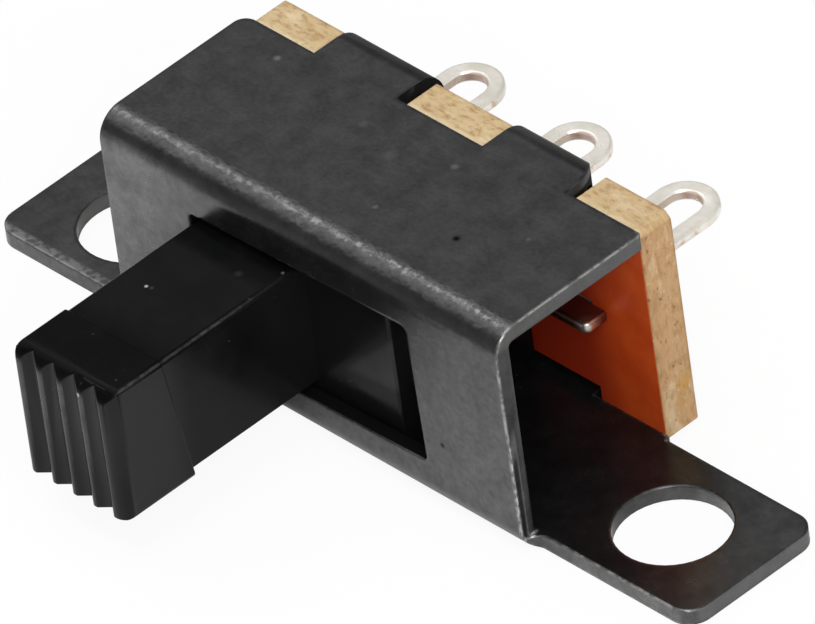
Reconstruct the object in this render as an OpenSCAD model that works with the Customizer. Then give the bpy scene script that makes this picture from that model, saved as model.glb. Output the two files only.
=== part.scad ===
// Slide switch with three solder lugs: a folded steel frame with two screw ears, a punched
// terminal board clamped by the frame's tabs, and a moulded slider that carries a contact clip.
// Millimetres. Origin: midway between the ear holes, on the mounting face. +X is the travel
// of the handle, -Y points to the handle's end and +Z stands up from the mounting face.

/* [Frame] */
// Length of the folded channel
body_l = 11.06; // [10.6:0.02:13]
// Height of the folded channel
body_h = 5.4; // [5.2:0.1:6.5]
// Depth from the front face to the back edges of the plates
body_d = 4.02; // [3.7:0.02:4.6]
// Thickness of the steel sheet
sheet_t = 0.35; // [0.3:0.05:0.5]
// Outside radius of the two long folds
bend_r = 0.6; // [0.5:0.05:0.7]
// Inside radius of the two long folds
bend_in_r = 0.12; // [0.1:0.02:0.3]
// Radius of the upper plate's left back corner
plate_corner_r = 0.3; // [0.1:0.05:0.6]
// Angle by which the window is punched askew
slot_tilt = 1.8; // [0:0.2:2]

/* [Ears] */
// Distance between the two screw holes
hole_pitch = 15; // [14.5:0.1:18]
// Diameter of a screw hole
hole_d = 2.4; // [2:0.1:2.6]
// Distance from a hole's centre to the end of its ear
ear_tip = 2.25; // [1.8:0.05:2.6]
// Step from the front face back to the front edge of an ear
ear_inset = 0.4; // [0.3:0.05:0.55]
// Step from the plates' back edges forward to the back edge of an ear
ear_back_inset = 0.1; // [0:0.05:0.3]
// Radius of the ears' outer corners
ear_corner_r = 0.5; // [0.2:0.05:0.8]
// Radius of the hollow corner where an ear leaves the lower fold
ear_root_r = 0.36; // [0.1:0.02:0.5]

/* [Tabs] */
// Width of a clamping tab
tab_w = 2.3; // [2:0.05:2.6]
// Distance between the two tabs of a plate
tab_pitch = 4.7; // [4.2:0.1:5.2]
// Inside radius of a tab's fold
tab_in_r = 0.25; // [0.05:0.05:0.35]
// Reach of a folded tab, down from the plate's outer face
tab_drop = 1.2; // [0.9:0.05:1.4]
// Radius of a tab's end corners
tab_corner_r = 0.3; // [0.1:0.05:0.4]
// Radius that rounds off the outer side of the right-hand tabs
tab_round_r = 1; // [0.4:0.05:1.2]

/* [Terminal board] */
// Thickness of the board
board_t = 0.88; // [0.7:0.02:1.2]
// Bevel across the board's four corners
board_corner = 0.15; // [0.1:0.05:0.5]

/* [Terminals] */
// Distance between neighbouring terminals
term_pitch = 3; // [2.8:0.05:3.2]
// Thickness of the terminal sheet
term_t = 0.25; // [0.2:0.05:0.35]
// Width of a solder lug
lug_w = 1.45; // [1.2:0.05:1.7]
// Reach of a lug behind the board
lug_reach = 3.1; // [2.6:0.1:4]
// Width of the lug's eye
eye_w = 0.75; // [0.6:0.05:1]
// Length of the lug's eye
eye_l = 2; // [1.2:0.1:2.2]
// Reach of a contact blade in front of the board
blade_reach = 0.6; // [0.4:0.05:0.7]

/* [Slider] */
// Travel of the handle from end to end
travel = 3.3; // [2.8:0.1:3.6]
// Length of the handle in front of the frame
handle_l = 4.87; // [3.8:0.01:7]
// Width of the handle's neck
neck_w = 2.66; // [2.2:0.02:2.8]
// Height of the handle's neck
neck_h = 2.9; // [2.5:0.05:3.1]
// Length of the grip block along its lower side
grip_l = 1.87; // [1.4:0.01:2.6]
// Length of the grip block along its upper side
grip_top_l = 1.42; // [1.2:0.01:2.4]
// Width of the grip block
grip_w = 2.74; // [2.66:0.02:3]
// Height of the grip block
grip_h = 3.15; // [3.05:0.02:3.4]
// Ridges on the end of the grip
rib_count = 5; // [3:1:6]
// Distance between neighbouring ridges
rib_pitch = 0.57; // [0.4:0.01:0.6]
// Depth of the grooves between the ridges
rib_depth = 0.19; // [0.08:0.01:0.25]
// Length of the carriage inside the frame
carriage_l = 7.2; // [6.5:0.1:7.4]

/* [Contact clip] */
// Thickness of the clip's spring sheet
clip_t = 0.2; // [0.12:0.02:0.25]
// Height of the clip at its web
clip_h = 1.7; // [1.4:0.05:2]

/* [Hidden] */
$fn = 64;

// Clearances and small sizes
overrun = 1;
slide_gap = 0.05;
stop_gap = 0.07;
slot_gap = 0.07;
slot_head = 0.08;
fit_gap = 0.02;
contact_gap = 0.03;
blade_gap = 0.2;
board_inset = 0.07;
board_end_gap = 0.1;
tab_shift = -0.07;
notch_gap = 0.22;
notch_fit = 0.04;
notch_relief = 0.05;
blade_space = 0.6;
blade_corner_r = 0.15;
stake_bulge = 0.15;
stake_l = 0.25;
slot_corner_r = 0.15;
plate_nick_r = 0.08;
neck_low = 0.1;
neck_shift = -0.06;
grip_lip = 0.05;
grip_shift = -0.05;
grip_top_r = 0.4;
grip_side_r = 0.33;
edge_r = 0.12;
rib_crest = 0.1;
rib_shift = -0.15;
carriage_bevel = 0.25;
carriage_end_r = 0.08;
pocket_wall = 1.2;
clip_over = 0.4;
finger_gap = 0.5;
lip_rise = 0.2;

// Frame
mid_z = body_h / 2;
ear_w = body_d - ear_inset - ear_back_inset;
ear_front_y = -ear_w / 2;
front_y = ear_front_y - ear_inset;
plate_back_y = front_y + body_d;
ear_x = hole_pitch / 2 + ear_tip;
root_r = min(ear_root_r, ear_inset);

// Terminal board, held between the plates' back edges and the tabs
board_l = body_l - 2 * board_end_gap;
board_h = body_h - 2 * board_inset;
board_back_y = plate_back_y + board_t;
tab_r = sheet_t + tab_in_r;
notch_w = tab_w + notch_gap + notch_fit;
notch_shift = tab_shift + (notch_gap - notch_fit) / 2;
notch_z = mid_z - tab_r - notch_relief;

// Terminals
blade_w = term_pitch - blade_space;
blade_front_y = plate_back_y - blade_reach;
lug_tip_y = board_back_y + lug_reach;
eye_far_y = lug_tip_y - lug_w / 2;
eye_near_y = eye_far_y - (eye_l - eye_w);

// Slider, at the left end of its travel
slider_x = -travel / 2;
neck_z = mid_z - neck_low;
slot_l = neck_w + travel + 2 * stop_gap;
slot_rise = slot_gap + slot_l / 2 * sin(slot_tilt);
slot_h = neck_h + 2 * slot_rise + slot_head;
slot_z = neck_z + slot_head / 2;
grip_top_z = neck_z + neck_h / 2 + grip_lip;
grip_z = grip_top_z - grip_h / 2;
handle_end_y = front_y - handle_l;
grip_back_y = handle_end_y + max(grip_l, grip_top_l);
neck_end_y = handle_end_y + min(grip_l, grip_top_l) / 2;
carriage_front_y = front_y + sheet_t + slide_gap;
carriage_back_y = plate_back_y - slide_gap;
carriage_d = carriage_back_y - carriage_front_y;
carriage_h = body_h - 2 * (sheet_t + slide_gap);

// Contact clip, with its web on the floor of the carriage's pocket
clip_l = term_pitch + clip_over;
pocket_y = carriage_front_y + pocket_wall;
web_y = pocket_y + clip_t / 2;
web_z = (clip_h - clip_t) / 2;
touch_y = (blade_front_y + plate_back_y) / 2;
touch_z = term_t / 2 + contact_gap + clip_t / 2;
lip_y = carriage_back_y - clip_t / 2;

// A rectangle about the origin with rounded corners
module round_rect(w, h, r) {
    square([w - 2 * r, h], center = true);
    square([w, h - 2 * r], center = true);
    for (sx = [-1, 1], sy = [-1, 1]) {
        translate([sx * (w / 2 - r), sy * (h / 2 - r)]) circle(r);
    }
}

// A rectangle from corner to corner, rounded at its far upper corner alone
module one_round(low, high, r) {
    size = high - low;
    translate(low) square([size.x - r, size.y]);
    translate(low) square([size.x, size.y - r]);
    translate([high.x - r, high.y - r]) circle(r);
}

// A strip of even thickness along a line of points, with round ends and joints
module strip(points, t) {
    for (p = points) {
        translate(p) circle(d = t);
    }
    for (i = [1 : len(points) - 1]) {
        run = points[i] - points[i - 1];
        translate(points[i - 1]) rotate(atan2(run.y, run.x)) translate([0, -t / 2]) square([norm(run), t]);
    }
}

// Turns an outline drawn in depth and height into a bar along X
module along_x(l) {
    rotate([90, 0, 90]) linear_extrude(l, center = true) children();
}

// Turns an outline drawn in width and height into a bar that runs forward from y
module forward(y, l) {
    translate([0, y, 0]) rotate([90, 0, 0]) linear_extrude(l) children();
}

// Repeats a shape above and below the middle height
module both_levels() {
    children();
    translate([0, 0, body_h]) mirror([0, 0, 1]) children();
}

// The folded sheet seen from its open end
module channel_section() {
    outer = [body_d, body_h];
    inner_h = body_h - 2 * sheet_t;
    difference() {
        translate([front_y + body_d, mid_z]) round_rect(2 * outer.x, outer.y, bend_r);
        translate([plate_back_y, mid_z]) round_rect(2 * (outer.x - sheet_t), inner_h, bend_in_r);
        translate([plate_back_y, -overrun]) square([outer.x + overrun, outer.y + 2 * overrun]);
    }
}

// The flat of the two ears, which carries on from the lower plate
module ear_flat() {
    linear_extrude(sheet_t) round_rect(2 * ear_x, ear_w, ear_corner_r);
}

// The upper plate seen from above, with a wide rounding at its left back corner
module plate_outline() {
    one_round([-body_l / 4, front_y], [body_l / 2, plate_back_y], plate_nick_r);
    mirror([1, 0]) one_round([-body_l / 4, front_y], [body_l / 2, plate_back_y], plate_corner_r);
}

// The channel, with the upper plate's back corners rounded
module channel() {
    difference() {
        along_x(body_l) channel_section();
        translate([0, 0, mid_z]) linear_extrude(body_h) difference() {
            translate([-body_l, front_y + bend_r]) square([2 * body_l, body_d]);
            plate_outline();
        }
    }
}

// The lower fold runs on past the channel's ends and thins out in a hollow corner at each ear
module ear_roots() {
    intersection() {
        along_x(body_l + 2 * root_r) channel_section();
        linear_extrude(sheet_t) difference() {
            square([body_l + 2 * root_r, ear_w + 2 * root_r], center = true);
            for (side = [-1, 1]) {
                translate([side * (body_l / 2 + root_r), ear_front_y - root_r]) circle(root_r);
            }
            translate([-body_l, ear_w / 2]) square([2 * body_l, body_d]);
        }
    }
}

// A tab that leaves the upper plate, crosses the board's edge and folds down behind it
module clamping_tab() {
    tab_back_y = board_back_y + sheet_t;
    tab_end_z = body_h - tab_drop;
    root_y = plate_back_y - sheet_t;
    intersection() {
        along_x(tab_w) difference() {
            one_round([root_y, tab_end_z], [tab_back_y, body_h], tab_r);
            one_round([root_y - overrun, tab_end_z - overrun], [board_back_y, body_h - sheet_t], tab_in_r);
        }
        forward(tab_back_y + overrun, body_d + board_t + overrun)
            translate([0, body_h]) round_rect(tab_w, 2 * tab_drop, tab_corner_r);
    }
}

// A tab whose outer side is rounded off across its fold
module rounded_tab() {
    intersection() {
        clamping_tab();
        linear_extrude(2 * body_h)
            one_round([-tab_w, front_y], [tab_w / 2, board_back_y + sheet_t], tab_round_r);
    }
}

module frame() {
    color([0.22, 0.22, 0.23]) difference() {
        union() {
            channel();
            ear_flat();
            ear_roots();
            both_levels() translate([tab_shift - tab_pitch / 2, 0, 0]) clamping_tab();
            both_levels() translate([tab_shift + tab_pitch / 2, 0, 0]) rounded_tab();
        }
        forward(front_y + bend_r, bend_r + overrun)
            translate([neck_shift, slot_z]) rotate(slot_tilt) round_rect(slot_l, slot_h, slot_corner_r);
        for (side = [-1, 1]) {
            translate([side * hole_pitch / 2, 0, -overrun]) cylinder(h = sheet_t + 2 * overrun, d = hole_d);
        }
    }
}

// The board's outline, with bevelled corners and a notch for each tab
module board_outline() {
    x = board_l / 2;
    z = board_h / 2;
    c = board_corner;
    difference() {
        polygon([[-x + c, -z], [x - c, -z], [x, -z + c], [x, z - c],
                 [x - c, z], [-x + c, z], [-x, z - c], [-x, -z + c]]);
        for (sx = [-1, 1], sz = [-1, 1]) {
            translate([sx * tab_pitch / 2 + notch_shift, sz * (notch_z + mid_z)])
                square([notch_w, 2 * mid_z], center = true);
        }
        for (i = [-1 : 1]) {
            translate([i * term_pitch, 0]) square([lug_w + 2 * fit_gap, term_t + 2 * fit_gap], center = true);
        }
    }
}

module terminal_board() {
    color([0.72, 0.55, 0.34]) forward(board_back_y, board_t) translate([0, mid_z]) board_outline();
}

// One stamped terminal: blade in front of the board, lug with its eye behind it
module terminal(i) {
    shank_l = eye_far_y - touch_y;
    color([0.8, 0.79, 0.76]) translate([i * term_pitch, 0, mid_z - term_t / 2]) linear_extrude(term_t)
        difference() {
            union() {
                translate([0, touch_y]) round_rect(blade_w, blade_reach, blade_corner_r);
                translate([-blade_w / 2, touch_y]) square([blade_w, blade_reach / 2]);
                translate([-lug_w / 2, touch_y]) square([lug_w, shank_l]);
                translate([-lug_w / 2 - stake_bulge, board_back_y])
                    square([lug_w + 2 * stake_bulge, stake_l]);
                translate([0, eye_far_y]) circle(d = lug_w);
            }
            translate([-eye_w / 2, eye_near_y]) square([eye_w, eye_far_y - eye_near_y]);
            for (y = [eye_near_y, eye_far_y]) {
                translate([0, y]) circle(d = eye_w);
            }
        }
}

module terminal_left() {
    terminal(-1);
}

module terminal_centre() {
    terminal(0);
}

module terminal_right() {
    terminal(1);
}

// The block that runs inside the frame, bevelled to clear the folds
module carriage() {
    y = carriage_d / 2;
    z = carriage_h / 2;
    c = carriage_bevel;
    centre_y = (carriage_front_y + carriage_back_y) / 2;
    intersection() {
        along_x(carriage_l) translate([centre_y, mid_z])
            polygon([[-y + c, -z], [y - c, -z], [y, -z + c], [y, z - c],
                     [y - c, z], [-y + c, z], [-y, z - c], [-y, -z + c]]);
        translate([0, centre_y, 0]) linear_extrude(body_h)
            round_rect(carriage_l, carriage_d, carriage_end_r);
    }
}

// The grip seen from above, with grooves between the ridges of its end
module grip_plan() {
    groove = (rib_pitch - rib_crest) / 2;
    depth = grip_back_y - handle_end_y;
    left_x = grip_shift - grip_w / 2;
    right_x = grip_shift + grip_w / 2;
    difference() {
        union() {
            translate([left_x + edge_r, handle_end_y]) square([grip_w - edge_r - grip_side_r, depth]);
            translate([left_x, handle_end_y + edge_r]) square([grip_w - grip_side_r, depth - edge_r]);
            translate([left_x + edge_r, handle_end_y + grip_side_r])
                square([grip_w - edge_r, depth - grip_side_r]);
            translate([left_x + edge_r, handle_end_y + edge_r]) circle(edge_r);
            translate([right_x - grip_side_r, handle_end_y + grip_side_r]) circle(grip_side_r);
        }
        for (i = [1 : rib_count - 1]) {
            translate([rib_shift + (i - rib_count / 2) * rib_pitch, handle_end_y])
                polygon([[-groove, -overrun], [groove, -overrun], [groove, 0], [0, rib_depth], [-groove, 0]]);
        }
    }
}

// The grip seen from its side, round at the upper end and with a slanting back
module grip_side() {
    low_z = grip_top_z - grip_h;
    polygon([[handle_end_y + grip_top_r, grip_top_z], [handle_end_y + grip_top_l, grip_top_z],
             [handle_end_y + grip_l, low_z], [handle_end_y, low_z], [handle_end_y, grip_top_z - grip_top_r]]);
    translate([handle_end_y + grip_top_r, grip_top_z - grip_top_r]) circle(grip_top_r);
}

// The neck seen from the front, with its upper edges rounded
module neck_outline() {
    round_rect(neck_w, neck_h, edge_r);
    translate([-neck_w / 2, -neck_h / 2]) square([neck_w, neck_h / 2]);
}

// The handle: a neck through the frame's window and a ridged grip at its end
module handle() {
    root_y = carriage_front_y + sheet_t;
    forward(root_y, root_y - neck_end_y) translate([neck_shift, neck_z]) neck_outline();
    intersection() {
        forward(grip_back_y, grip_back_y - handle_end_y)
            translate([grip_shift, grip_z]) round_rect(grip_w, grip_h, edge_r);
        along_x(2 * grip_w) grip_side();
        linear_extrude(body_h) grip_plan();
    }
}

module slider() {
    groove_y = blade_front_y - blade_gap;
    groove_h = term_t + 2 * blade_gap;
    pocket_l = clip_l + 2 * fit_gap;
    pocket_h = clip_h + 2 * fit_gap;
    color([0.09, 0.09, 0.095]) translate([slider_x, 0, 0]) difference() {
        union() {
            carriage();
            handle();
        }
        translate([-carriage_l / 2 - overrun, groove_y, mid_z - groove_h / 2])
            cube([carriage_l + 2 * overrun, carriage_back_y - groove_y + overrun, groove_h]);
        translate([-pocket_l / 2, pocket_y, mid_z - pocket_h / 2])
            cube([pocket_l, carriage_back_y - pocket_y + overrun, pocket_h]);
    }
}

// A sprung channel whose two legs close on the blades, each leg slit into two fingers
module contact_clip() {
    finger_y = web_y + clip_t;
    color([0.72, 0.5, 0.26]) translate([slider_x, 0, mid_z]) difference() {
        along_x(clip_l) {
            strip([[web_y, -web_z], [web_y, web_z]], clip_t);
            for (side = [-1, 1]) {
                strip([[web_y, side * web_z], [touch_y, side * touch_z],
                       [lip_y, side * (touch_z + lip_rise)]], clip_t);
            }
        }
        translate([-finger_gap / 2, finger_y, -clip_h]) cube([finger_gap, body_d, 2 * clip_h]);
    }
}

frame();
terminal_board();
terminal_left();
terminal_centre();
terminal_right();
slider();
contact_clip();
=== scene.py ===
from functools import reduce
from math import cos, pi, radians, sin
from types import SimpleNamespace

import bpy
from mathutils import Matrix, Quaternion, Vector


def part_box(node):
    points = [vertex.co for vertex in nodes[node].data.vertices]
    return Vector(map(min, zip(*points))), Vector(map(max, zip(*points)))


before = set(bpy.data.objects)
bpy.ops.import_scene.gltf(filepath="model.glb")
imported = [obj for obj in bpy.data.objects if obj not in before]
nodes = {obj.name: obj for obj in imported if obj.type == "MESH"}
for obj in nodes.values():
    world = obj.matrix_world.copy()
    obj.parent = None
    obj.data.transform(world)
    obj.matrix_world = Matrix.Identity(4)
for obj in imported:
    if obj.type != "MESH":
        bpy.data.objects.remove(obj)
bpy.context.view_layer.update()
mm = 0.001                  # the pieces' dictionaries are in millimetres, Blender works in metres
usualNoise = (0.3, 0.7)     # most of a noise's values lie between these
boardFront, boardBack = [corner.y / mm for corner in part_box("terminal_board")]
lugPitch = (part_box("terminal_right")[0].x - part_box("terminal_centre")[0].x) / mm
print("frame loaded:", ", ".join(sorted(nodes)))


# node helpers; a socket knows its own tree, so most of them need no tree

def fillInputs(node, inputs):
    for key, value in inputs.items():
        socket = node.inputs[key]
        if isinstance(value, bpy.types.NodeSocket):
            node.id_data.links.new(value, socket)
        elif socket.type == "RGBA":
            socket.default_value = (*value, 1)
        else:
            socket.default_value = value


def addNode(tree, kind, inputs=None, **settings):
    node = tree.nodes.new(kind)
    for key, value in settings.items():
        setattr(node, key, value)
    fillInputs(node, inputs or {})
    return node


def compute(operation, *values):
    tree = next(value.id_data for value in values if isinstance(value, bpy.types.NodeSocket))
    return addNode(tree, "ShaderNodeMath", dict(enumerate(values)), operation=operation).outputs[0]


def times(*values):
    return reduce(lambda first, second: compute("MULTIPLY", first, second), values)


def most(*values):
    return reduce(lambda first, second: compute("MAXIMUM", first, second), values)


def inverse(mask):
    return compute("SUBTRACT", 1.0, mask)


# a ramp is listed as where it starts and ends, then its level at the start and at the end
def ramp(value, start, end, startLevel=0.0, endLevel=1.0):
    limits = {"From Min": start, "From Max": end, "To Min": startLevel, "To Max": endLevel}
    node = addNode(value.id_data, "ShaderNodeMapRange", {"Value": value, **limits},
                   interpolation_type="SMOOTHSTEP")
    return node.outputs["Result"]


# whole between the two middle places, gone at the outer ones
def band(value, start, whole, lastWhole, end):
    return times(ramp(value, start, whole), ramp(value, end, lastWhole))


# one level where the mask is off, the other where it is on
def switched(mask, offLevel, onLevel):
    return ramp(mask, 0.0, 1.0, offLevel, onLevel)


def blendColours(share, first, second):
    inputs = {0: share, 6: first, 7: second}
    return addNode(share.id_data, "ShaderNodeMix", inputs, data_type="RGBA").outputs[2]


def blendValues(share, first, second):
    return addNode(share.id_data, "ShaderNodeMix", {0: share, 2: first, 3: second}).outputs[0]


def axesOf(vector):
    parts = addNode(vector.id_data, "ShaderNodeSeparateXYZ", {"Vector": vector})
    return parts.outputs["X"], parts.outputs["Y"], parts.outputs["Z"]


def measure(operation, first, second=(0, 0, 0)):
    node = addNode(first.id_data, "ShaderNodeVectorMath", {0: first, 1: second}, operation=operation)
    return node.outputs["Value"]


# a new material, with the point in millimetres and the normal that its nodes go by
def startMaterial(name):
    material = bpy.data.materials.new(name)
    material.use_nodes = True
    tree = material.node_tree
    place = addNode(tree, "ShaderNodeTexCoord")
    scaled = addNode(tree, "ShaderNodeVectorMath", {0: place.outputs["Object"], "Scale": 1 / mm},
                     operation="SCALE")
    look = SimpleNamespace(material=material, tree=tree, surface=tree.nodes["Principled BSDF"])
    look.point = scaled.outputs["Vector"]
    look.x, look.y, look.z = axesOf(look.point)
    look.normalX, look.normalY, look.normalZ = axesOf(place.outputs["Normal"])
    return look


# soft noise with blotches of about the given size
def speckle(look, size, detail=3.0, rough=0.55, stretch=(1, 1, 1)):
    mapping = addNode(look.tree, "ShaderNodeMapping", {"Vector": look.point, "Scale": stretch})
    noise = addNode(look.tree, "ShaderNodeTexNoise", {
        "Vector": mapping.outputs["Vector"],
        "Scale": 0.5 / size,
        "Detail": detail,
        "Roughness": rough,
    })
    return noise.outputs["Fac"]


# single spots, listed as x, y, z, radius and level
def specks(look, spots):
    return most(*[ramp(measure("DISTANCE", look.point, (x, y, z)), 0.2 * radius, radius, level, 0.0)
                  for x, y, z, radius, level in spots])


def bumped(height, strength, depth, normal=None):
    inputs = {"Height": height, "Strength": strength, "Distance": depth * mm}
    if normal:
        inputs["Normal"] = normal
    return addNode(height.id_data, "ShaderNodeBump", inputs).outputs["Normal"]


# eased edges on the solids

easing = {
    "weldDistance": 0.002,
    "flatAngle": 0.5,       # degrees; flatter joins of two faces go
    "sharpAngle": 32,       # degrees; sharper edges are eased
}


def startGeometry(name):
    group = bpy.data.node_groups.new(name, "GeometryNodeTree")
    group.interface.new_socket("Geometry", in_out="INPUT", socket_type="NodeSocketGeometry")
    group.interface.new_socket("Geometry", in_out="OUTPUT", socket_type="NodeSocketGeometry")
    return group, addNode(group, "NodeGroupInput").outputs[0]


def weldedMesh():
    group, shape = startGeometry("weldedMesh")
    merge = addNode(group, "GeometryNodeMergeByDistance",
                    {"Geometry": shape, "Distance": easing["weldDistance"] * mm})
    smooth = addNode(group, "GeometryNodeSetShadeSmooth", {"Geometry": merge.outputs[0]})
    addNode(group, "NodeGroupOutput", {0: smooth.outputs[0]})
    return group


# weights the outward edges for the bevel and keeps the inward ones sharp
def outerEdges():
    group, shape = startGeometry("outerEdges")
    fold = addNode(group, "GeometryNodeInputMeshEdgeAngle").outputs["Signed Angle"]
    outward = compute("GREATER_THAN", fold, radians(easing["sharpAngle"]))
    inward = compute("LESS_THAN", fold, -radians(easing["sharpAngle"]))
    store = addNode(group, "GeometryNodeStoreNamedAttribute",
                    {"Geometry": shape, "Name": "bevel_weight_edge", "Value": outward},
                    data_type="FLOAT", domain="EDGE")
    crease = addNode(group, "GeometryNodeSetShadeSmooth",
                     {"Geometry": store.outputs[0], "Selection": inward, "Shade Smooth": False},
                     domain="EDGE")
    addNode(group, "NodeGroupOutput", {0: crease.outputs[0]})
    return group


weldGroup = weldedMesh()
edgeMarks = outerEdges()


def easeEdges(piece, width, segments=3, clamp=False):
    weld = piece.modifiers.new("weld", "NODES")
    weld.node_group = weldGroup
    flats = piece.modifiers.new("wholeFlats", "DECIMATE")
    flats.decimate_type = "DISSOLVE"
    flats.angle_limit = radians(easing["flatAngle"])
    marks = piece.modifiers.new("outerEdges", "NODES")
    marks.node_group = edgeMarks
    bevel = piece.modifiers.new("easedEdges", "BEVEL")
    bevel.width = width * mm
    bevel.segments = segments
    bevel.limit_method = "WEIGHT"
    bevel.use_clamp_overlap = clamp
    normals = piece.modifiers.new("evenNormals", "WEIGHTED_NORMAL")
    normals.weight = 100
    normals.keep_sharp = True


def dress(piece, finish):
    piece.data.materials.clear()
    piece.data.materials.append(finish)


# folded steel frame

frameLook = {
    "coat": (0.0080, 0.0082, 0.0085),
    "coatDark": (0.0050, 0.0052, 0.0055),
    # pale bare steel on worn edges, also painted highlight on them and painted glints on the fold
    "paleWearAndPaintedHighlight": (0.62, 0.61, 0.59),
    # pale grey: dust spots, sheared ends, and painted reflection on the front
    "paleGreyDustAndPaintedLight": (0.14, 0.137, 0.135),
    "deep": (0.005, 0.005, 0.005),      # pits, and painted shade on the window's walls and in the gaps beside the tabs
    "index": 1.8,
    "rough": (0.24, 0.28),
    "cutRough": (0.7, 0.98, 0.0, 0.28),     # sheared ends are rougher
    "tabRough": 0.5,
    "edge": 0.02,
    "rollOver": 0.10,       # radius of the edges as the light sees them
    "relief": {"grain": 0.12, "fold": 1.6, "depth": 0.012},
    "mottle": {"size": 0.30, "detail": 5, "rough": 0.65},
    "grain": {"size": 0.05, "detail": 2},
    "foldGrain": {"size": 0.09, "detail": 1.5, "rough": 0.5},
    # the next noise places the rubs and the painted glints
    "rubs": {"size": 0.065, "detail": 1.0, "rough": 0.4},
    "coatPatches": (0.32, 0.68),
    # faces, by their normals
    "frontFacing": (-0.85, -0.99),
    "upFacing": (0.8, 0.95),
    "endFacing": (0.8, 0.97),
    "foldForward": (0.0, -0.08),
    "foldUp": (0.5, 0.85),
    # ears
    "earZ": (0.45, 0.40),
    "leftEarX": (-5.6, -5.75),
    "earRootX": (5.4, 5.6, 5.9, 6.9),
    "earBandY": (-1.50, -1.60),
    "earBandRubs": (0.36, 0.60, 0.25, 1.0),
    "leftHole": (-7.5, 0, 0.17),
    "holeReach": (1.26, 1.23),
    "holeFacing": (0.6, 0.3, 0.0, 0.7),
    # painted reflection on the front face, lighter to the left and low on the ears
    "paintedLightX": (-2.0, -5.4, 0.0, 1.4),
    "paintedLightZ": (0.45, 0.3),
    "paintedLightPatches": (0.18, 0.45),
    "leftEarPaintedLight": 0.45,
    "earRootPaintedLight": 0.3,
    # sheared ends with less black on them
    "topEndZ": (4.9, 5.1, 0.0, 0.27),
    "earEndX": (9.0, 9.5, 0.0, 0.35),
    # rubbed edges, partly painted highlight, and painted glints on the fold's crown
    "edgeTurn": (0.997, 0.95),
    "edgeOutside": (0.05, 0.35),
    "rightEndX": (5.33, 5.43, 5.58, 5.63),
    "earFrontY": (-1.5, -1.65),
    "edgeShares": {"rightEnd": 0.7, "earFront": 0.5, "elsewhere": 0.04},
    "earRootShare": 0.2,
    "edgeRubs": (0.40, 0.62, 0.25, 1.0),
    "crownForward": (-0.50, -0.32, -0.24, -0.12),
    "crownZ": (4.8, 5.0),
    "crownX": (-2.0, 1.0, 0.6, 1.0),
    "crownGlints": (0.50, 0.68, 0.0, 0.26),
    # window, whose walls get painted shade
    "windowHalfX": (3.25, 3.18),
    "windowMiddleZ": 2.64,
    "windowHalfZ": (1.82, 1.78),
    # tabs, with painted shade in the gaps beside them
    "windowY": (-2.14, -2.10),
    # tabs
    "tabBackY": (boardFront + 0.02, boardFront + 0.12),
    "tabBackUp": (0.97, 0.85),
    "tabBackward": (0.95, 0.82),
    "tabSideFacing": (0.4, 0.7),
    "tabSideX": (4.5, 4.2),
    "tabSideY": (1.45, 1.55),
    "litSideX": (0.0, 0.5),
    "litSideZ": (5.12, 5.25),
    "litBackward": (0.15, 0.3),
    "litBackUp": (0.05, 0.2),
    "litBackZ": (4.9, 5.0),
    "litShare": 0.45,
    # sheen, and what dulls it: real pits, and painted shade near the board, in the recesses and on the tabs'
    # tops
    "sheen": (0.25, 0.75, 0.38, 0.62),
    "grainSheen": (-0.05, 0.05),
    "frontSheen": (-0.07, 0.07),
    "nearBoardX": (9.2, 5.5, 0.05, 0.6),
    "pastLeftEarX": (-5.0, -4.0),
    "tabTopY": (boardFront - 0.02, boardFront + 0.05),
    "tabTopUp": (0.999, 0.97, 0.0, 0.35),
    "recessDull": 0.9,
    "dustSpots": [(-4.03, 1.30, 5.4, 0.11, 0.6), (0.82, -0.74, 5.4, 0.09, 0.4), (1.16, 1.08, 5.4, 0.12, 0.4),
                  (3.9, 0.4, 5.4, 0.07, 0.3), (-1.2, 0.9, 5.4, 0.15, 0.15), (-0.1, 0.55, 5.4, 0.2, 0.15)],
    "pits": [(2.77, -0.45, 5.4, 0.13, 1.0), (3.55, -2.16, 1.75, 0.10, 0.9)],
}


# the faces and places that the steel's finishes tell apart
def steelZones(look):
    look.onFront = ramp(look.normalY, *frameLook["frontFacing"])
    look.facingUp = ramp(look.normalZ, *frameLook["upFacing"])
    look.onFold = times(ramp(look.normalY, *frameLook["foldForward"]),
                        ramp(look.normalZ, *frameLook["foldUp"]))
    look.onEars = ramp(look.z, *frameLook["earZ"])
    look.leftEar = times(ramp(look.x, *frameLook["leftEarX"]), look.onEars)
    look.earRoot = band(look.x, *frameLook["earRootX"])


# the window's walls, where painted shade goes
def windowWalls(look):
    aboveMiddle = compute("SUBTRACT", look.z, frameLook["windowMiddleZ"])
    return times(ramp(compute("ABSOLUTE", look.x), *frameLook["windowHalfX"]),
                 ramp(compute("ABSOLUTE", aboveMiddle), *frameLook["windowHalfZ"]),
                 ramp(look.y, *frameLook["windowY"]))


# painted shade beside the tabs, lessened where only their rolled backs and the right tab's side catch some
# light
def tabGaps(look):
    backs = times(ramp(look.y, *frameLook["tabBackY"]), ramp(look.normalZ, *frameLook["tabBackUp"]),
                  ramp(look.normalY, *frameLook["tabBackward"]))
    sides = times(ramp(look.normalX, *frameLook["tabSideFacing"]), ramp(look.x, *frameLook["tabSideX"]))
    gaps = most(backs, times(sides, ramp(look.y, *frameLook["tabSideY"])))
    litSide = times(sides, ramp(look.z, *frameLook["litSideZ"]), ramp(look.x, *frameLook["litSideX"]))
    litBack = times(ramp(look.normalY, *frameLook["litBackward"]), ramp(look.z, *frameLook["litBackZ"]),
                    ramp(look.normalZ, *frameLook["litBackUp"]))
    return times(gaps, switched(most(litSide, litBack), 1.0, frameLook["litShare"]))
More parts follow.
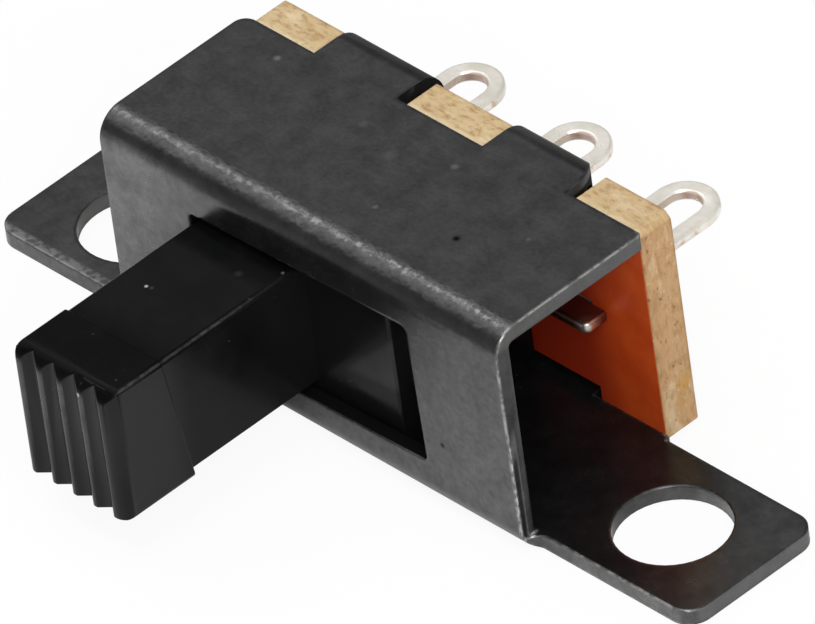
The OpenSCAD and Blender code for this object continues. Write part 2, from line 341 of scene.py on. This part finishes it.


# painted reflection on the left of the front face and on the ears' front edges
def frontPaintedLightAndRubs(look):
    paintedLight = most(ramp(look.x, *frameLook["paintedLightX"]), ramp(look.z, *frameLook["paintedLightZ"]))
    paintedLight = times(paintedLight, look.onFront, ramp(look.mottle, *usualNoise, *frameLook["paintedLightPatches"]))
    paintedLight = times(paintedLight, switched(look.leftEar, 1.0, frameLook["leftEarPaintedLight"]),
                 switched(look.earRoot, 1.0, frameLook["earRootPaintedLight"]))
    # the left ear is rubbed along the front of its top and in its hole instead
    earBand = times(ramp(look.y, *frameLook["earBandY"]), look.facingUp,
                    ramp(look.rubs, *frameLook["earBandRubs"]))
    fromHole = measure("DISTANCE", look.point, frameLook["leftHole"])
    holeWall = times(ramp(fromHole, *frameLook["holeReach"]), ramp(look.normalZ, *frameLook["holeFacing"]))
    return most(paintedLight, times(look.leftEar, most(earBand, holeWall)))


def shearedEnds(look):
    ends = most(ramp(look.z, *frameLook["topEndZ"]), ramp(look.x, *frameLook["earEndX"]))
    return times(ends, ramp(look.normalX, *frameLook["endFacing"]))


# bare steel on the edges, most of all at the channel's right end, where it is partly painted highlight;
# painted glints on the fold's crown
def wornEdgesAndPaintedGlints(look):
    shares = frameLook["edgeShares"]
    plain = addNode(look.tree, "ShaderNodeNewGeometry").outputs["Normal"]
    turn = measure("DOT_PRODUCT", look.rolled, plain)
    rolledY, rolledZ = axesOf(look.rolled)[1:]
    onEdge = times(ramp(turn, *frameLook["edgeTurn"]),
                   ramp(compute("SUBTRACT", rolledZ, rolledY), *frameLook["edgeOutside"]))
    rightEnd = band(look.x, *frameLook["rightEndX"])
    earFront = times(look.onEars, switched(look.earRoot, 1.0, frameLook["earRootShare"]),
                     compute("SUBTRACT", ramp(look.y, *frameLook["earFrontY"]), look.leftEar))
    paleWearAndPaintedHighlight = most(times(rightEnd, shares["rightEnd"]), times(earFront, shares["earFront"]), shares["elsewhere"])
    paleWearAndPaintedHighlight = times(paleWearAndPaintedHighlight, ramp(look.rubs, *frameLook["edgeRubs"]), onEdge)
    # painted glints: pale specks where the fold's crown mirrors the left lamp
    crown = times(band(look.normalY, *frameLook["crownForward"]), ramp(look.z, *frameLook["crownZ"]),
                  ramp(look.rubs, *frameLook["crownGlints"]), ramp(look.x, *frameLook["crownX"]))
    return times(most(paleWearAndPaintedHighlight, crown), switched(look.recess, 1.0, 0.0))


# uneven sheen, with painted shade on the right ear near the board, on the tabs' tops and in the recesses, and
# lost in pits
def coatSheen(look):
    sheen = compute("ADD", ramp(look.mottle, *frameLook["sheen"]),
                    ramp(look.grain, *usualNoise, *frameLook["grainSheen"]))
    onFront = times(look.onFront, ramp(look.foldGrain, *usualNoise, *frameLook["frontSheen"]))
    nearBoard = times(look.onEars, look.facingUp, ramp(look.x, *frameLook["nearBoardX"]),
                      ramp(look.x, *frameLook["pastLeftEarX"]))
    onTabs = times(ramp(look.y, *frameLook["tabTopY"]), ramp(look.normalZ, *frameLook["tabTopUp"]))
    dull = most(look.pitted, nearBoard, times(look.recess, frameLook["recessDull"]), onTabs)
    return times(compute("ADD", sheen, onFront), inverse(dull))


def steelRelief(look):
    relief = frameLook["relief"]
    foldHeight = times(compute("SUBTRACT", look.foldGrain, 0.5), look.onFold, relief["fold"])
    height = compute("ADD", times(look.grain, relief["grain"]), foldHeight)
    return bumped(height, 1.0, relief["depth"], look.rolled)


def blackedSteel(name):
    look = startMaterial(name)
    look.mottle = speckle(look, **frameLook["mottle"])
    look.grain = speckle(look, **frameLook["grain"])
    look.foldGrain = speckle(look, **frameLook["foldGrain"])
    look.rubs = speckle(look, **frameLook["rubs"])
    rollOver = {"Radius": frameLook["rollOver"] * mm}
    look.rolled = addNode(look.tree, "ShaderNodeBevel", rollOver, samples=8).outputs["Normal"]
    look.pitted = specks(look, frameLook["pits"])
    steelZones(look)
    gaps = tabGaps(look)
    # painted shade: the window's walls and the gaps beside the tabs, darkened and dulled below
    look.recess = most(windowWalls(look), gaps)
    wornAndPaintedHighlight = wornEdgesAndPaintedGlints(look)
    coatShare = ramp(look.mottle, *frameLook["coatPatches"])
    colour = blendColours(coatShare, frameLook["coatDark"], frameLook["coat"])
    # painted reflection on the front, rubs on the left ear and pale sheared ends
    colour = blendColours(most(frontPaintedLightAndRubs(look), shearedEnds(look)), colour, frameLook["paleGreyDustAndPaintedLight"])
    colour = blendColours(wornAndPaintedHighlight, colour, frameLook["paleWearAndPaintedHighlight"])
    colour = blendColours(specks(look, frameLook["dustSpots"]), colour, frameLook["paleGreyDustAndPaintedLight"])
    # real pits, and painted shade in the recesses
    colour = blendColours(most(look.pitted, look.recess), colour, frameLook["deep"])
    onCut = ramp(compute("ABSOLUTE", look.normalX), *frameLook["cutRough"])
    extraRough = most(onCut, times(gaps, frameLook["tabRough"]))
    fillInputs(look.surface, {
        "Base Color": colour,
        "Metallic": wornAndPaintedHighlight,
        "Roughness": compute("ADD", ramp(look.mottle, *usualNoise, *frameLook["rough"]), extraRough),
        "IOR": frameLook["index"],
        "Specular IOR Level": coatSheen(look),
        "Normal": steelRelief(look),
    })
    return look.material


easeEdges(nodes["frame"], frameLook["edge"], clamp=True)
dress(nodes["frame"], blackedSteel("blackedSteel"))
print("frame dressed")


# terminal board of paper laminate

boardLook = {
    "varnish": (0.63, 0.085, 0.012),
    "varnishDark": (0.53, 0.055, 0.007),
    "varnishPaintedShade": (0.30, 0.022, 0.005),
    "cutTop": (0.59, 0.435, 0.235),
    "cutEnd": (0.535, 0.325, 0.155),
    "fibre": (0.34, 0.18, 0.065),
    "pit": (0.16, 0.07, 0.025),
    "vein": (0.50, 0.27, 0.045),
    "cream": (0.80, 0.68, 0.47),
    "rough": (0.75, 0.38),          # of the cut edges and of the varnished faces
    "relief": {"cut": 1.0, "face": 0.06, "strength": 0.7, "depth": 0.03},
    "edge": 0.03,
    "fibres": {"size": 0.055, "detail": 4, "rough": 0.65, "stretch": (0.45, 1.0, 0.45)},
    "clouds": {"size": 0.19, "detail": 4, "rough": 0.6, "stretch": (0.45, 1.0, 0.45)},
    "pits": {"size": 0.075, "detail": 2, "rough": 0.5, "stretch": (0.8, 1.0, 0.8)},
    "faceFacing": (0.55, 0.75),
    "topFacing": (0.4, 0.8),
    "topPits": 0.35,                # pits show less on the top
    # shares of the colours in the cut edges
    "fibreStreaks": (0.46, 0.70, 0.0, 0.75),
    "brownClouds": (0.52, 0.72, 0.0, 0.6),
    "creamClouds": (0.48, 0.30, 0.0, 0.45),
    "creamBandY": (boardFront + 0.08, boardFront + 0.2, 0.55, 0.0),
    "creamBandClouds": (0.35, 0.6, 0.5, 1.0),
    "brownX": (1.0, 5.0, 0.0, 0.16),
    "veinPits": (0.4, 0.6, 0.4, 1.0),
    "darkPits": (0.62, 0.74, 0.0, 0.8),
    "palePits": (0.38, 0.28, 0.0, 0.3),
    "frontRimY": (boardFront + 0.06, boardFront + 0.02, 0.0, 0.35),
    "frontRimOffTop": (0.0, 0.5, 1.0, 0.0),
    "backRimY": (boardBack - 0.10, boardBack - 0.03, 0.0, 0.5),
    "backRimFibres": (0.35, 0.6, 0.3, 1.0),
    "veinSpots": [(5.43, 2.52, 1.25, 0.32, 0.9), (5.43, 2.42, 0.85, 0.22, 0.6)],
    # painted shade inside the channel: the varnish darker towards the middle of the board
    "paintedShadeX": (3.4, 4.7, 1.0, 0.0),
    "paintedShadeFacing": (0.2, -0.2),
}


# punched edges: fibres, clouds, pits, a yellow vein and darker rims, laid over each other in this order
def punchedEdges(look, onTop):
    pitted = switched(onTop, 1.0, boardLook["topPits"])
    creamBand = times(ramp(look.y, *boardLook["creamBandY"]), onTop,
                      ramp(look.clouds, *boardLook["creamBandClouds"]))
    vein = times(specks(look, boardLook["veinSpots"]), ramp(look.pits, *boardLook["veinPits"]))
    frontRim = times(ramp(look.y, *boardLook["frontRimY"]), ramp(onTop, *boardLook["frontRimOffTop"]))
    backRim = times(ramp(look.y, *boardLook["backRimY"]), ramp(look.fibres, *boardLook["backRimFibres"]))
    layers = [
        (ramp(look.fibres, *boardLook["fibreStreaks"]), "fibre"),
        (ramp(look.clouds, *boardLook["brownClouds"]), "fibre"),
        (ramp(look.clouds, *boardLook["creamClouds"]), "cream"),
        (creamBand, "cream"),
        (ramp(look.x, *boardLook["brownX"]), "fibre"),
        (vein, "vein"),
        (times(ramp(look.pits, *boardLook["darkPits"]), pitted), "pit"),
        (times(ramp(look.pits, *boardLook["palePits"]), pitted), "cream"),
        (frontRim, "pit"),
        (backRim, "fibre"),
    ]
    colour = blendColours(onTop, boardLook["cutEnd"], boardLook["cutTop"])
    for share, tint in layers:
        colour = blendColours(share, colour, boardLook[tint])
    return colour


def varnishedFaces(look):
    colour = blendColours(ramp(look.clouds, *usualNoise), boardLook["varnishDark"], boardLook["varnish"])
    # painted shade on the board's inner face, deeper in the channel
    deep = times(ramp(look.x, *boardLook["paintedShadeX"]), ramp(look.normalY, *boardLook["paintedShadeFacing"]))
    return blendColours(deep, colour, boardLook["varnishPaintedShade"])


def paperLaminate(name):
    look = startMaterial(name)
    relief = boardLook["relief"]
    look.fibres = speckle(look, **boardLook["fibres"])
    look.clouds = speckle(look, **boardLook["clouds"])
    look.pits = speckle(look, **boardLook["pits"])
    onFace = ramp(compute("ABSOLUTE", look.normalY), *boardLook["faceFacing"])
    onTop = ramp(compute("ABSOLUTE", look.normalZ), *boardLook["topFacing"])
    height = times(compute("ADD", look.fibres, look.clouds), switched(onFace, relief["cut"], relief["face"]))
    fillInputs(look.surface, {
        "Base Color": blendColours(onFace, punchedEdges(look, onTop), varnishedFaces(look)),
        "Roughness": switched(onFace, *boardLook["rough"]),
        "Normal": bumped(height, relief["strength"], relief["depth"]),
    })
    return look.material


easeEdges(nodes["terminal_board"], boardLook["edge"], segments=2)
dress(nodes["terminal_board"], paperLaminate("paperLaminate"))
print("terminal board dressed")


# stamped terminals, tin over brass

lugLook = {
    "tin": (0.93, 0.905, 0.83),
    "tinDull": (0.74, 0.71, 0.62),
    # painted shade on the blades inside the channel
    "bare": (0.62, 0.40, 0.25),
    "tarnishAndPaintedShade": (0.24, 0.115, 0.08),
    "eyeWall": (0.44, 0.36, 0.28),
    "rough": (0.26, 0.44),
    "edge": 0.07,
    "relief": {"strength": 0.35, "depth": 0.05},
    "patches": {"size": 0.35, "detail": 4},
    "fine": {"size": 0.12, "detail": 3},
    "cutFacing": (0.25, 0.6, 1.0, 0.0),
    "dullPatches": (0.35, 0.7),
    "barePatches": (0.52, 0.66, 0.0, 0.75),
    # the walls of the eyes have dulled; the blades get painted shade, but for the tip seen through the open
    # end
    "eyeHalfX": (0.46, 0.40),
    "eyeY": (5.5, 5.4, 0.0, 0.8),
    "bladeY": (1.9, 1.84),
    "metalY": (1.8, 2.2, 1.0, 0.40),
    "brightTips": [(4.2, 1.32, 2.62, 0.42, 1.0)],
}


def tinnedBrass(name):
    look = startMaterial(name)
    relief = lugLook["relief"]
    patches = speckle(look, **lugLook["patches"])
    fine = speckle(look, **lugLook["fine"])
    onCut = ramp(compute("ABSOLUTE", look.normalZ), *lugLook["cutFacing"])
    offCentre = compute("ABSOLUTE", compute("WRAP", look.x, 0.5 * lugPitch, -0.5 * lugPitch))
    inEye = times(ramp(offCentre, *lugLook["eyeHalfX"]), onCut, ramp(look.y, *lugLook["eyeY"]))
    # painted shade on the blades inside the channel, spared at the tip
    onBlade = times(ramp(look.y, *lugLook["bladeY"]), inverse(specks(look, lugLook["brightTips"])))
    colour = blendColours(ramp(patches, *lugLook["dullPatches"]), lugLook["tin"], lugLook["tinDull"])
    colour = blendColours(times(onCut, ramp(fine, *lugLook["barePatches"])), colour, lugLook["bare"])
    colour = blendColours(inEye, colour, lugLook["eyeWall"])
    fillInputs(look.surface, {
        "Base Color": blendColours(onBlade, colour, lugLook["tarnishAndPaintedShade"]),
        "Metallic": ramp(look.y, *lugLook["metalY"]),
        "Roughness": ramp(patches, *usualNoise, *lugLook["rough"]),
        "Normal": bumped(patches, relief["strength"], relief["depth"]),
    })
    return look.material


tinFinish = tinnedBrass("tinnedBrass")
for side in ("left", "centre", "right"):
    lug = nodes["terminal_" + side]
    easeEdges(lug, lugLook["edge"])
    dress(lug, tinFinish)
print("terminals dressed")


# moulded slider

sliderLook = {
    "black": (0.0028, 0.0029, 0.0032),
    "blackWorn": (0.0046, 0.0047, 0.005),
    # the black lifted by painted light near the window
    "paintedLiftBlack": (0.0064, 0.0064, 0.0068),
    "wornAndPaintedHighlight": (0.055, 0.055, 0.057),
    "dust": (0.42, 0.42, 0.41),
    "index": 1.30,
    "rough": (0.15, 0.28),
    "edge": 0.03,
    "relief": {"strength": 0.25, "depth": 0.006},
    "clouds": {"size": 0.5, "detail": 5, "rough": 0.6},
    "fine": {"size": 0.07, "detail": 2},
    "wornPatches": (0.35, 0.7),
    # painted light: the black lifted in the window, on the carriage and the sides of the neck there
    "paintedLiftY": (-3.8, -2.6, -1.73, -1.68),
    "paintedLiftFacing": (0.7, 0.3),
    # fingers have greyed the crests of the ridges; the upper right edge gets a painted highlight
    "crestY": (-6.99, -7.02),
    "crestX": (-0.9, -1.0),
    "crestTopZ": (3.85, 3.65),
    "crestZ": (1.2, 3.0, 0.15, 1.0),
    "edgeFacing": (0.40, 0.62),
    "edgeFine": (0.35, 0.65, 0.25, 0.8),
    "edgeY": (-2.8, -4.2, 0.1, 1.0),
    "rubPatches": (0.35, 0.6, 0.45, 1.0),
    # lint
    "lintFine": (0.72, 0.80),
    "lintPatches": (0.52, 0.62, 0.0, 0.12),
    "dustSpots": [(-2.30, -4.13, 4.05, 0.055, 1.0), (-1.25, -7.02, 3.74, 0.06, 1.0),
                  (-0.48, -2.20, 4.05, 0.05, 0.2), (-2.18, -4.10, 4.05, 0.07, 0.06),
                  (-1.15, -2.75, 4.05, 0.12, 0.03)],
    # sheen of the neck and of the grip, with painted shade dulling the grip's top and the low part of its
    # ridges
    "topFacing": (0.2, 0.5),
    "gripY": (-4.7, -6.0),
    "topSheen": (0.28, 0.12),
    "sideSheen": (0.30, 0.62),
    "ridgeFacing": (-0.2, -0.4),
    "lowRidgeZ": (3.2, 1.2, 0.0, 0.4),
    # a painted reflection on the carriage's front: sheen on a patch between two slopes from one corner
    "carriageY": (-1.8, -1.77),
    "patchCorner": {"x": 0.43, "z": 1.83},
    "patchSlopes": {"upper": 0.95, "lower": 0.11},
    "patchUpper": (0.15, -0.2),
    "patchLower": (-0.15, 0.25),
    "patchSheen": (0.30, 0.72),
}


def crestWearAndEdgeHighlight(look):
    crests = times(ramp(look.y, *sliderLook["crestY"]), ramp(look.x, *sliderLook["crestX"]),
                   ramp(look.z, *sliderLook["crestTopZ"]), ramp(look.z, *sliderLook["crestZ"]))
    # painted highlight along the neck's upper right edge, found by its normals
    rightEdge = times(ramp(look.normalX, *sliderLook["edgeFacing"]),
                      ramp(look.normalZ, *sliderLook["edgeFacing"]),
                      ramp(look.fine, *sliderLook["edgeFine"]), ramp(look.y, *sliderLook["edgeY"]))
    return times(most(crests, rightEdge), ramp(look.clouds, *sliderLook["rubPatches"]))


# painted reflection: a triangle of sheen on the carriage's front
def carriagePaintedReflection(look):
    along = compute("SUBTRACT", look.x, sliderLook["patchCorner"]["x"])
    above = compute("SUBTRACT", look.z, sliderLook["patchCorner"]["z"])
    overUpper = compute("SUBTRACT", above, times(along, sliderLook["patchSlopes"]["upper"]))
    overLower = compute("SUBTRACT", above, times(along, sliderLook["patchSlopes"]["lower"]))
    patch = times(ramp(overUpper, *sliderLook["patchUpper"]), ramp(overLower, *sliderLook["patchLower"]))
    return switched(patch, *sliderLook["patchSheen"])


# painted shade on the reflections: a duller grip top and lower ridges
def sliderSheen(look):
    onGrip = ramp(look.y, *sliderLook["gripY"])
    lowRidges = times(ramp(look.normalY, *sliderLook["ridgeFacing"]), ramp(look.z, *sliderLook["lowRidgeZ"]))
    sides = times(switched(onGrip, *sliderLook["sideSheen"]), inverse(lowRidges))
    onTop = ramp(look.normalZ, *sliderLook["topFacing"])
    handle = blendValues(onTop, sides, switched(onGrip, *sliderLook["topSheen"]))
    return blendValues(ramp(look.y, *sliderLook["carriageY"]), handle, carriagePaintedReflection(look))


def mouldedBlack(name):
    look = startMaterial(name)
    relief = sliderLook["relief"]
    look.clouds = speckle(look, **sliderLook["clouds"])
    look.fine = speckle(look, **sliderLook["fine"])
    wornShare = ramp(look.clouds, *sliderLook["wornPatches"])
    # painted light lifting the black near the window
    paintedLift = times(band(look.y, *sliderLook["paintedLiftY"]), ramp(look.normalZ, *sliderLook["paintedLiftFacing"]))
    lint = times(ramp(look.fine, *sliderLook["lintFine"]), ramp(look.clouds, *sliderLook["lintPatches"]))
    colour = blendColours(wornShare, sliderLook["black"], sliderLook["blackWorn"])
    colour = blendColours(paintedLift, colour, sliderLook["paintedLiftBlack"])
    colour = blendColours(crestWearAndEdgeHighlight(look), colour, sliderLook["wornAndPaintedHighlight"])
    colour = blendColours(most(lint, specks(look, sliderLook["dustSpots"])), colour, sliderLook["dust"])
    fillInputs(look.surface, {
        "Base Color": colour,
        "Roughness": ramp(look.clouds, *usualNoise, *sliderLook["rough"]),
        "IOR": sliderLook["index"],
        "Specular IOR Level": sliderSheen(look),
        "Normal": bumped(look.fine, relief["strength"], relief["depth"]),
    })
    return look.material


easeEdges(nodes["slider"], sliderLook["edge"])
dress(nodes["slider"], mouldedBlack("mouldedBlack"))
print("slider dressed")


# spring clip

clipLook = {
    "bronze": (0.56, 0.33, 0.15),
    "tarnishAndPaintedShade": (0.34, 0.17, 0.07),
    "rough": (0.26, 0.42),
    "edge": 0.02,
    "relief": {"strength": 0.15, "depth": 0.004},
    "streaks": {"size": 0.12, "detail": 3, "stretch": (0.2, 1, 1)},
    "tarnishPatches": (0.4, 0.75),
}


def springBronze(name):
    look = startMaterial(name)
    relief = clipLook["relief"]
    streaks = speckle(look, **clipLook["streaks"])
    tarnished = ramp(streaks, *clipLook["tarnishPatches"])
    fillInputs(look.surface, {
        "Base Color": blendColours(tarnished, clipLook["bronze"], clipLook["tarnishAndPaintedShade"]),
        "Metallic": 1.0,
        "Roughness": ramp(streaks, *usualNoise, *clipLook["rough"]),
        "Normal": bumped(streaks, relief["strength"], relief["depth"]),
    })
    return look.material


easeEdges(nodes["contact_clip"], clipLook["edge"], segments=2)
dress(nodes["contact_clip"], springBronze("springBronze"))
print("contact clip dressed")


# studio: white floor, soft lamps, camera; lengths here are in metres

studio = {
    "floorSize": 3.0,
    "floorDrop": 0.02 * mm,
    "white": (1, 1, 1),
    "paper": (0.88, 0.88, 0.88),
    "paperFar": (0.26, 0.26, 0.26),     # the paper beyond the lit patch, as mirrors show it
    "litPatch": (0.012, 0.024),
    "glowSeen": 0.92,       # share of plain white in what the camera sees of the floor
    "glowMirrored": 0.05,   # the same share in mirror images
    "skyFill": 0.14,
    "skyRim": 0.20,         # the sky is paler towards the horizon
    "skyRimFall": 4.0,
    "softLight": {"towards": (-0.61, -0.05, 0.79), "level": 1.1, "inner": 8, "outer": 40},
    "aim": Vector((0, 0, 2.7 * mm)),
    "lamps": {              # level is how bright the lamp's face is
        "frontRight": {"towards": (0.68, -0.40, 0.62), "distance": 0.50, "size": 0.35, "level": 6.0},
        "overhead": {"towards": (0.05, -0.10, 0.99), "distance": 0.45, "size": 0.30, "level": 3.2},
        "leftGlint": {"towards": (-0.61, 0.05, 0.79), "distance": 0.45, "size": 0.08, "level": 3.0},
        "backRight": {"towards": (0.62, 0.49, 0.61), "distance": 0.45, "size": 0.20, "level": 1.2},
    },
}


def whitePaper(name):
    material = bpy.data.materials.new(name)
    material.use_nodes = True
    tree = material.node_tree
    tree.nodes.remove(tree.nodes["Principled BSDF"])
    path = addNode(tree, "ShaderNodeLightPath").outputs
    place = addNode(tree, "ShaderNodeTexCoord").outputs["Object"]
    mirrored = most(path["Is Glossy Ray"], path["Is Transmission Ray"])
    far = times(mirrored, ramp(measure("LENGTH", place), *studio["litPatch"]))
    paper = addNode(tree, "ShaderNodeBsdfDiffuse",
                    {"Color": blendColours(far, studio["paper"], studio["paperFar"])})
    glow = addNode(tree, "ShaderNodeEmission", {"Color": studio["white"], "Strength": 1.0})
    share = most(times(path["Is Camera Ray"], studio["glowSeen"]), times(mirrored, studio["glowMirrored"]))
    mix = addNode(tree, "ShaderNodeMixShader", {0: share, 1: paper.outputs[0], 2: glow.outputs[0]})
    fillInputs(tree.nodes["Material Output"], {"Surface": mix.outputs[0]})
    return material


def makeFloor():
    half = studio["floorSize"] / 2
    corners = [(-half, -half, 0), (half, -half, 0), (half, half, 0), (-half, half, 0)]
    mesh = bpy.data.meshes.new("floor")
    mesh.from_pydata(corners, [], [(0, 1, 2, 3)])
    mesh.materials.append(whitePaper("whitePaper"))
    floor = bpy.data.objects.new("floor", mesh)
    floor.location.z = -studio["floorDrop"]
    bpy.context.scene.collection.objects.link(floor)


def makeWorld():
    world = bpy.data.worlds.new("studioWorld")
    bpy.context.scene.world = world
    world.use_nodes = True
    tree = world.node_tree
    soft = studio["softLight"]
    path = addNode(tree, "ShaderNodeLightPath").outputs
    direction = addNode(tree, "ShaderNodeTexCoord").outputs["Generated"]
    facing = measure("DOT_PRODUCT", direction, Vector(soft["towards"]).normalized())
    sky = ramp(facing, cos(radians(soft["outer"])), cos(radians(soft["inner"])),
               studio["skyFill"], studio["skyFill"] + soft["level"])
    nearRim = inverse(compute("ABSOLUTE", axesOf(direction)[2]))
    rim = times(compute("POWER", nearRim, studio["skyRimFall"]), studio["skyRim"])
    strength = most(compute("ADD", sky, rim), path["Is Camera Ray"])
    fillInputs(tree.nodes["Background"], {"Color": studio["white"], "Strength": strength})


def makeLamps():
    for name, lamp in studio["lamps"].items():
        light = bpy.data.lights.new(name, "AREA")
        light.shape = "DISK"
        light.size = lamp["size"]
        light.energy = lamp["level"] * pi * pi * (lamp["size"] / 2) ** 2
        towards = Vector(lamp["towards"]).normalized()
        lampObject = bpy.data.objects.new(name, light)
        lampObject.location = studio["aim"] + towards * lamp["distance"]
        lampObject.rotation_mode = "QUATERNION"
        lampObject.rotation_quaternion = towards.to_track_quat("Z", "Y")
        bpy.context.scene.collection.objects.link(lampObject)


cameraSet = {
    "aim": Vector((1.003, -0.471, 2.7)) * mm,
    "distance": 525.335 * mm,
    "azimuth": 50.9,
    "elevation": 38.58,
    "roll": 8.23,
    "lens": 1200,
    "nearest": 0.05,
    "farthest": 5,
}


def makeCamera():
    azimuth = radians(cameraSet["azimuth"])
    elevation = radians(cameraSet["elevation"])
    back = Vector((sin(azimuth) * cos(elevation), -cos(azimuth) * cos(elevation), sin(elevation)))
    lean = Quaternion((0, 0, 1), -radians(cameraSet["roll"]))
    camera = bpy.data.cameras.new("camera")
    camera.lens = cameraSet["lens"]
    camera.clip_start = cameraSet["nearest"]
    camera.clip_end = cameraSet["farthest"]
    cameraObject = bpy.data.objects.new("camera", camera)
    cameraObject.location = cameraSet["aim"] + back * cameraSet["distance"]
    cameraObject.rotation_mode = "QUATERNION"
    cameraObject.rotation_quaternion = back.to_track_quat("Z", "Y") @ lean
    bpy.context.scene.collection.objects.link(cameraObject)
    bpy.context.scene.camera = cameraObject


makeFloor()
makeWorld()
makeLamps()
makeCamera()
bpy.context.scene.view_settings.view_transform = "Standard"
print("studio ready")
